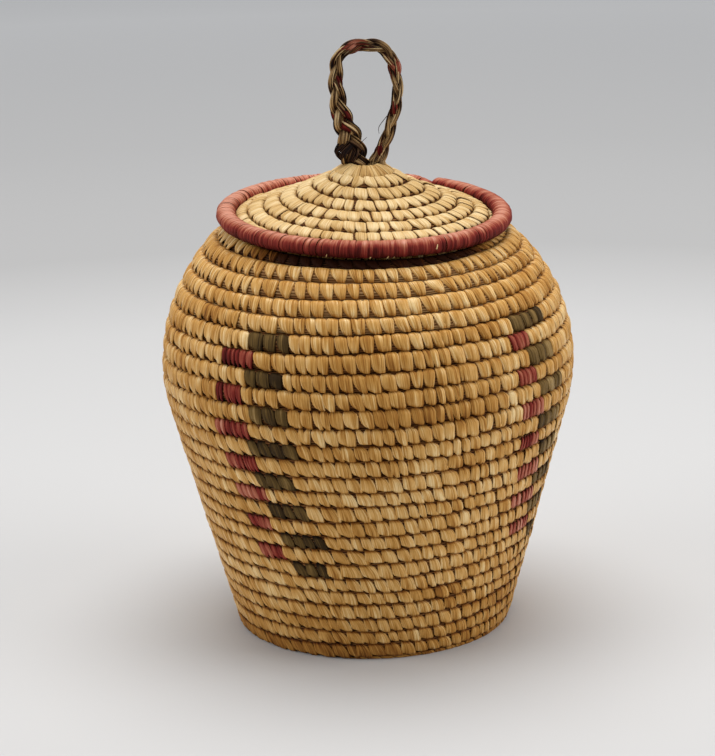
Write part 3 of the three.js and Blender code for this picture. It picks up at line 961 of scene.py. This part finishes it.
BLADE_TONES = [0.2, 0.34, 0.5, 0.6, 0.68, 0.76, 0.82, 0.88, 0.94, 1.0, 0.64, 0.46, 0.28, 0.72]
PLAIT_TONES = [
    (0.0, (0.010, 0.005, 0.004)),
    (0.3, (0.042, 0.019, 0.013)),
    (0.5, (0.140, 0.075, 0.032)),
    (0.75, (0.450, 0.285, 0.115)),
    (1.0, (0.720, 0.530, 0.275)),
]
# Where the red blades come to the outside of the plait: share of its length, reach, tone and strands.
RED_PATCHES = [
    (0.17, 0.04, 0.1, "ac"),
    (0.3, 0.025, 0.1, "b"),
    (0.435, 0.034, 0.75, "abc"),
    (0.6, 0.032, 0.62, "abc"),
    (0.74, 0.035, 0.0, "b"),
    (0.88, 0.03, 0.15, "c"),
]


def smooth_line(line, count):
    """Points evenly along a smooth curve through the given ones, and its length."""
    line = np.array(line, dtype=float)
    line = np.vstack([2 * line[0] - line[1], line, 2 * line[-1] - line[-2]])
    t = np.linspace(0, 1, 40, endpoint=False)[:, None]
    parts = []
    for a, b, c, d in zip(line, line[1:], line[2:], line[3:]):
        bend = (2 * a - 5 * b + 4 * c - d) * t**2 + (3 * (b - c) + d - a) * t**3
        parts.append(0.5 * (2 * b + (c - a) * t + bend))
    dense = np.vstack([*parts, line[-2:-1]])
    way = np.concatenate([[0], np.cumsum(np.linalg.norm(np.diff(dense, axis=0), axis=1))])
    even = np.linspace(0, way[-1], count)
    return np.stack([np.interp(even, way, dense[:, k]) for k in range(dense.shape[1])], axis=1), way[-1]


def directions(points):
    """Along a line, across it in the loop's plane, and out of that plane."""
    along = np.gradient(points, axis=0)
    along /= np.linalg.norm(along, axis=1)[:, None]
    across = np.cross(along, [0, 1, 0])
    across /= np.linalg.norm(across, axis=1)[:, None]
    return along, across, np.cross(across, along)


plait_grass = grass_material("plaited_grass", PLAIT_TONES, 0.9, 0.9)
red_plait_grass = grass_material("plaited_red_grass", RED_TONES, 0.9, 0.9)
flat_line, loop_length = smooth_line(LOOP_LINE, LOOP_STEPS + 1)
line = np.stack([flat_line[:, 0], 0 * flat_line[:, 0], flat_line[:, 1]], axis=1)
share = np.linspace(0, 1, LOOP_STEPS + 1)
width = np.interp(share, [s for s, _ in LOOP_WIDTHS], [w for _, w in LOOP_WIDTHS])
lay = LOOP_LAY - LOOP_LAY_SAVED * np.clip((width - 7) / 7, 0, 1)
crossing = np.cumsum(loop_length / LOOP_STEPS / lay)
_, aside, _ = directions(line)
for number, letter in enumerate("abc"):
    patches = [
        (np.exp(-(((share - middle) / reach) ** 2)), deep)
        for middle, reach, deep, strands in RED_PATCHES
        if letter in strands
    ]
    red_shown = np.clip(sum(shown for shown, _ in patches), 0, 1)
    red_tone = 0.1 + sum(shown * deep for shown, deep in patches)
    phase = 2 * np.pi * (crossing + number / 3)
    middle = line + aside * (0.25 * width * np.sin(phase))[:, None]
    middle[:, 1] += 0.15 * width * np.sin(2 * phase)
    _, side, front = directions(middle)
    for dyed, count in (("", PLAIN_BLADES), ("red_", RED_BLADES)):
        name = "loop_strand_" + letter + "_" + dyed + "blades"
        piece, along, turn_round, copy = tube(name, BLADE_SIDES, LOOP_STEPS, count)
        at = np.round(along * LOOP_STEPS).astype(int)
        # A blade winds round its strand, wanders in and out, and is wider than it is thick.
        lie = 2 * np.pi * copy / count + 9 * share[at] + 0.8 * np.sin(9 * share[at] + 2 * copy) + number
        drift = 1 + 0.18 * np.sin(23 * share[at] + 1.7 * copy + number)
        if dyed:
            drift = 0.4 + 0.85 * red_shown[at]
        wide = 0.062 * width[at] * np.cos(turn_round) * (1 + 0.25 * np.sin(31 * share[at] + copy))
        wide = wide * (1.2 + 1.4 * red_shown[at] if dyed else 1)
        flat = 0.03 * width[at] * np.sin(turn_round) + 0.4 * wide
        reach_x = 0.16 * width[at] * drift + flat
        reach_y = 0.11 * width[at] * drift + flat
        u = np.cos(lie) * reach_x - np.sin(lie) * wide
        v = np.sin(lie) * reach_y + np.cos(lie) * wide * 0.8
        points = middle[at] + side[at] * u[:, None] + front[at] * v[:, None]
        strand = np.stack([wide * 2, share[at] * loop_length, 3.1 * copy + 11 * number], axis=1)
        # Blades differ, and are darker near the thick end. In the middle of the plait they are painted
        # darker:
        # painted shade where the strands lie over each other.
        mixed = chance.permutation(BLADE_TONES)[copy % len(BLADE_TONES)]
        mixed = mixed + 0.07 + 0.16 * np.sin(14 * share[at] + 3 * copy + number)
        mixed = mixed - 0.3 * np.clip(1 - share[at] / 0.25, 0, 1)
        mixed = mixed - 0.4 * np.clip(1 - np.abs(points[:, 1]) / (0.2 * width[at]), 0, 1)
        # Their edges are painted darker: painted shade between the blades.
        edge = np.abs(np.cos(turn_round)) ** 3 * 0.8
        if dyed:
            put(piece, on_mouth(points), strand, red_tone[at] + 0.12 * np.sin(3 * copy), edge)
            rides(piece, "lid", "plaited_grass", red_plait_grass)
        else:
            put(piece, on_mouth(points), strand, mixed, edge)
            rides(piece, "lid", "plaited_grass", plait_grass, "loop_strand_" + letter)


# Loose ends of the loop: the cut blades that splay from its two feet onto the lid, dark ones at the thick
# foot and pale ones at the thin foot. Two stray fibres have come out of the plait. Dry grass, not fixed.
LEFT_ENDS = 34
RIGHT_ENDS = 20
END_SIDES = 6
END_STEPS = 12
END_TWIST = 0.7
DARK_TONES = [0.01, 0.03, 0.06, 0.1, 0.18, 0.4]
STRAY_FIBRES = [
    [(-3.0, -2.6, 29.5), (-1.6, -3.2, 31.6), (1.0, -3.6, 34.2)],
    [(9.6, -1.4, 43.0), (6.2, -2.0, 38.4), (6.2, -1.8, 35.2)],
]


def lay_blades(name, lines, half_widths, half_thick, tones, slot="plaited_grass", material=plait_grass):
    """Short blades, each along its own line of points in the lid's frame, thinning to its end."""
    piece, along, turn_round, copy = tube(name, END_SIDES, END_STEPS, len(lines))
    at = np.round(along * END_STEPS).astype(int)
    middles = np.array([smooth_line(line, END_STEPS + 1)[0] for line in lines])
    frames = [directions(middle) for middle in middles]
    side = np.array([f[1] for f in frames])[copy, at]
    front = np.array([f[2] for f in frames])[copy, at]
    thin = 1 - 0.55 * along**3
    wide = np.array(half_widths)[copy] * thin * np.cos(turn_round)
    flat = half_thick * thin * np.sin(turn_round)
    points = middles[copy, at] + side * wide[:, None] + front * flat[:, None]
    strand = np.stack([wide * 2, along * END_STEPS, 5.3 * copy], axis=1)
    # Their edges are painted darker: painted shade between the blades.
    put(piece, on_mouth(points), strand, np.array(tones)[copy], np.abs(np.cos(turn_round)) ** 3 * 0.4)
    rides(piece, "lid", slot, material)


def lid_top(x, y):
    """Height of the top of the lid near its middle."""
    radius = max(math.hypot(x, y), HOLE_RADIUS)
    drawn_up = LID_PEAK * math.exp(-((radius / math.cos(LID_SLOPE) / PEAK_REACH) ** 2))
    surface = LID_CROWN - radius * math.tan(LID_SLOPE) + (LID_THICKNESS / 2 + 0.4) / math.cos(LID_SLOPE)
    return surface + drawn_up


ends = []
for turn in np.linspace(0, 2 * np.pi, LEFT_ENDS, endpoint=False):
    x, y = -math.cos(turn), math.sin(turn)
    reach = chance.normal(1, 0.1)
    top = (-6.4 + 4.6 * x, 3.0 * y, 31.0 + chance.normal(0, 1.6))
    turn += END_TWIST
    x, y = -math.cos(turn), math.sin(turn)
    knee = (-6.4 + 5.9 * reach * x, 4.3 * reach * y, 27 + chance.normal(0, 0.8))
    turn += END_TWIST
    x, y = -math.cos(turn), math.sin(turn)
    end = (-4.4 + 4.0 * reach * x, 3.4 * reach * y)
    ends.append([top, knee, (*end, lid_top(*end) + chance.uniform(-0.5, 0.8))])
end_tones = chance.choice(DARK_TONES, len(ends))
lay_blades("loop_left_foot_ends", ends, chance.uniform(0.3, 0.6, len(ends)), 0.28, end_tones)
ends = []
for turn in np.linspace(-1.9, 1.9, RIGHT_ENDS):
    x, y = math.cos(turn), math.sin(turn)
    reach = 2.6 + chance.uniform(0, 3.2)
    top = (7.6 + 1.5 * x, 1.6 * y, 29.5 + chance.normal(0, 1.4))
    knee = (5.6 + 2.2 * x, 2.1 * y, 26 + chance.normal(0, 0.5))
    end = (4.0 + reach * x, reach * 0.9 * y)
    ends.append([top, knee, (*end, lid_top(*end) + 0.1)])
end_tones = chance.uniform(0.45, 1.0, len(ends))
lay_blades("loop_right_foot_ends", ends, chance.uniform(0.25, 0.5, len(ends)), 0.22, end_tones)
lay_blades("loop_stray_fibres", STRAY_FIBRES, [0.16, 0.16], 0.14, [0.3, 0.3])


# Bare slivers on the rim: undyed edges of its blades that show where the rim is worn, low on its front.
# Each is a thin strip of pale grass that lies on the rim along its stitches.
SLIVER_PROUD = 0.15
# Each sliver: degrees from the front, from and to round the rim's section, and half its width.
SLIVERS = [
    (-15, -50, -22, 0.22),
    (1.5, -52, -34, 0.3),
    (8, -54, -30, 0.25),
    (10.5, -50, -38, 0.2),
    (27, -8, 22, 0.3),
]
slivers = []
for degrees, low, high, _ in SLIVERS:
    line = []
    for turn in np.radians([low, (low + high) / 2, high]):
        angle = math.radians(degrees + 0.02 * (math.degrees(turn) - low))
        radius = LID_RADIUS + (RIM_WIDTH / 2 + SLIVER_PROUD) * math.cos(turn)
        line.append(around(angle, radius, (RIM_HEIGHT / 2 + SLIVER_PROUD) * math.sin(turn)))
    slivers.append(line)
half_widths = [half for *_, half in SLIVERS]
tones = [1.0] * len(SLIVERS)
lay_blades("lid_rim_bare_slivers", slivers, half_widths, 0.2, tones, "natural_grass", pale_grass)


# Tail knot: under the lid the tails of the loop are tied into a knot that can't slip back up the hole.
# Its four windings are the same plaited grass, each tilted its own way, drawn up against the start ring.
KNOT_TOP = RING_MIDDLE - LID_THICKNESS / 2 - 0.3
KNOT_REACH = HOLE_RADIUS + START_WIDTH * 0.6
TAIL_RADIUS = 1.5
TAIL_TILTS = np.array([0.0, 1.1, 2.1, 0.5])
TAIL_HEIGHTS = np.array([-2.0, -3.4, -4.6, -3.0])
TAIL_TONES = np.array([0.4, 0.55, 0.3, 0.6])
piece, along, turn_round, copy = tube("loop_tail_knot_wound", 10, 40, len(TAIL_TILTS))
turn = 2 * np.pi * along * 0.985
reach = KNOT_REACH * (0.62 + 0.10 * (copy % 2)) + TAIL_RADIUS * np.cos(turn_round)
x = reach * np.cos(turn)
y = reach * np.sin(turn)
z = TAIL_RADIUS * np.sin(turn_round) + TAIL_HEIGHTS[copy] + 0.9 * np.sin(turn + TAIL_TILTS[copy])
points = np.stack([x, y, np.minimum(z, -0.1) + KNOT_TOP], axis=1)
strand = np.stack([turn_round * TAIL_RADIUS, along * 25, 2.0 * copy], axis=1)
# The inner side of each winding is painted darker: painted shade.
put(piece, on_mouth(points), strand, TAIL_TONES[copy], np.clip(-np.cos(turn_round), 0, 1) * 0.6)
rides(piece, "lid", "plaited_grass", plait_grass, "loop_tail_knot")


# Floor: a plain pale sheet of paper, laid flat and larger than the view. It is painted a little greyer some
# way off than under the basket and paler far out: painted shade and painted light. It carries the basket
# and its shadow, and isn't part of it.
FLOOR_HALF = 6.0
FLOOR_GREY = 0.61
FLOOR_REACH = 2.5
FLOOR_PAINTED_SHADE_AND_LIGHT = [(0.0, 1.0), (0.35, 0.98), (0.55, 0.96), (0.8, 0.83), (1.3, 1.02), (2.4, 1.6)]


def sheet_material(name):
    """Matt paper, painted in greys by the metres from the middle: painted shade and light."""
    material = bpy.data.materials.new(name)
    material.use_nodes = True
    tree = material.node_tree
    start = Tint(tree)
    place = start.node("ShaderNodeTexCoord", {}, "Object")
    away = start.node("ShaderNodeVectorMath", {0: place}, "Value", operation="LENGTH")
    greys = [(reach / FLOOR_REACH, [FLOOR_GREY * tone] * 3) for reach, tone in FLOOR_PAINTED_SHADE_AND_LIGHT]
    tint = start.node("ShaderNodeValToRGB", {"Fac": away * (1 / FLOOR_REACH)}, stops=greys)
    shader = tree.nodes["Principled BSDF"]
    tree.links.new(tint.socket, shader.inputs["Base Color"])
    shader.inputs["Roughness"].default_value = 0.9
    shader.inputs["Specular IOR Level"].default_value = 0.1
    return material


shape = bmesh.new()
bmesh.ops.create_grid(shape, x_segments=1, y_segments=1, size=FLOOR_HALF)
floor = object_of("floor_sheet", shape)
floor.data.materials.append(sheet_material("pale_sheet"))


# Light: one broad soft lamp overhead and a weaker one at each side, a little in front, in a dim and even
# grey room. They stand off the object and only light it.
LAMP_COLOUR = (1, 0.98, 0.96)
ROOM_COLOUR = (0.95, 0.97, 1, 1)
ROOM_LIGHT = 0.42


def lamp(name, place, aim, size, power):
    """A round lamp, its size in metres and its power in watts, turned to what it lights."""
    light = bpy.data.lights.new(name, "AREA")
    light.shape = "DISK"
    light.size = size
    light.energy = power
    light.color = LAMP_COLOUR
    made = bpy.data.objects.new(name, light)
    made.location = place
    towards = np.array(aim) - np.array(place)
    made.rotation_euler = (
        math.atan2(math.hypot(towards[0], towards[1]), -towards[2]),
        0,
        math.atan2(-towards[0], towards[1]),
    )
    bpy.context.scene.collection.objects.link(made)


lamp("overhead_lamp", (0.0, 0.25, 1.5), (0, 0, 0.1), 1.3, 18.2)
lamp("left_lamp", (-1.3, -0.3, 0.7), (0, 0, 0.08), 1.0, 6)
lamp("right_lamp", (1.3, -0.3, 0.7), (0, 0, 0.08), 1.0, 8)
world = bpy.data.worlds.new("grey_room")
world.use_nodes = True
room = world.node_tree.nodes["Background"]
room.inputs["Color"].default_value = ROOM_COLOUR
room.inputs["Strength"].default_value = ROOM_LIGHT
bpy.context.scene.world = world
bpy.context.scene.view_settings.view_transform = "Standard"


# Camera: the viewing angle of the picture, from the front and a little above. A long lens a metre away,
# held slightly out of level.
CAMERA_DOWN = math.radians(15.175)
CAMERA_ROLL = math.radians(1.594)
CAMERA_PLACE = np.array([-4.85, -1002.1, 380.2])
CAMERA_LENS = 112.4
c, s = math.cos(CAMERA_DOWN), math.sin(CAMERA_DOWN)
level, upright, forward = np.array([1, 0, 0]), np.array([0, s, c]), np.array([0, c, -s])
right = math.cos(CAMERA_ROLL) * level - math.sin(CAMERA_ROLL) * upright
upward = math.cos(CAMERA_ROLL) * upright + math.sin(CAMERA_ROLL) * level
stand = Matrix.Identity(4)
for k, axis in enumerate((right, upward, -forward, CAMERA_PLACE * MM)):
    stand.col[k][:3] = axis
lens = bpy.data.cameras.new("camera")
lens.lens = CAMERA_LENS
lens.sensor_width = 36
camera = bpy.data.objects.new("camera", lens)
camera.matrix_world = stand
bpy.context.scene.collection.objects.link(camera)
bpy.context.scene.camera = camera
